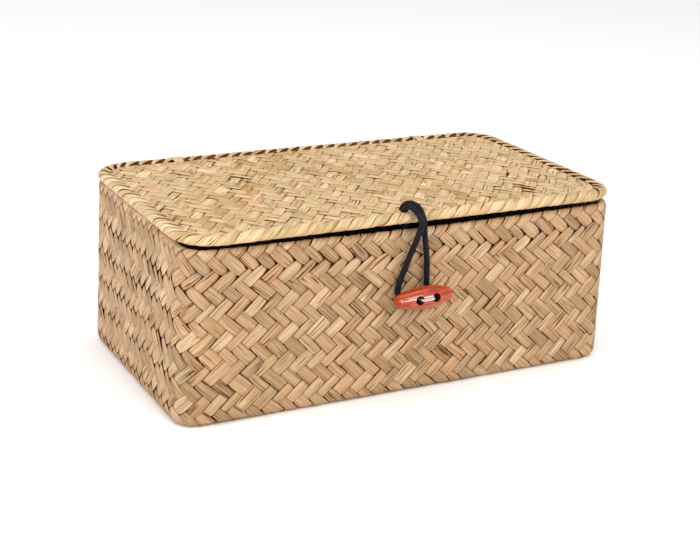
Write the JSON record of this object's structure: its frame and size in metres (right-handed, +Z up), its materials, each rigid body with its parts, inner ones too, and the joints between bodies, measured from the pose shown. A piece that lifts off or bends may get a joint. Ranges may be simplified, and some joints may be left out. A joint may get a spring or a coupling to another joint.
{
  "type": "woven lidded box",
  "caption": "Rectangular plaited straw keepsake box with a lid hinged at the back, closed by an elastic loop round a wooden toggle.",
  "frame": {"origin": "middle of the underside, on the surface that the box stands on", "axes": "+X to the right along the box's length, -Y out of the front where the toggle is, +Z up"},
  "size_m": [0.23, 0.1456, 0.0948],
  "materials": {
    "body_straw": "matte",
    "lid_straw": "matte",
    "lining_straw": "matte",
    "cane": "satin",
    "elastic_cord": "matte",
    "lacquered_wood": "gloss",
    "cotton_thread": "matte"
  },
  "bodies": {
    "box": {"body_outer_weave": "body_straw", "body_lining_weave": "lining_straw", "rim_hoop": "cane", "rim_roll": "body_straw", "toggle_shank": "cotton_thread", "toggle_stop_knot": "cotton_thread", "hinge_band_left": "body_straw", "hinge_band_right": "body_straw"},
    "lid": {"lid_top_weave": "lid_straw", "lid_lining_weave": "lining_straw", "lid_hoop": "cane", "lid_edge_roll": "lid_straw", "closure_knot": "elastic_cord"},
    "loop": {"closure_loop": "elastic_cord"},
    "toggle": {"toggle": "lacquered_wood", "toggle_thread": "cotton_thread"}
  },
  "joints": [
    {"name": "lid_hinge", "type": "hinge", "parent": "box", "child": "lid", "pos_m": [0, 0.065, 0.0843], "axis": [-1, 0, 0], "range_deg": [0, 180], "deforming": ["hinge_band_left", "hinge_band_right"]},
    {"name": "loop_swing", "type": "hinge", "parent": "lid", "child": "loop", "pos_m": [0, -0.0623, 0.0873], "axis": [1, 0, 0], "range_deg": [0, 84], "deforming": ["closure_loop"]},
    {"name": "toggle_turn", "type": "hinge", "parent": "box", "child": "toggle", "pos_m": [-0.00075, -0.0727, 0.052], "axis": [0, -1, 0], "range_deg": [-90, 90]}
  ],
  "couplings": [
    {"joint": "loop_swing", "follows": "lid_hinge", "ratio": 0.4666}
  ]
}
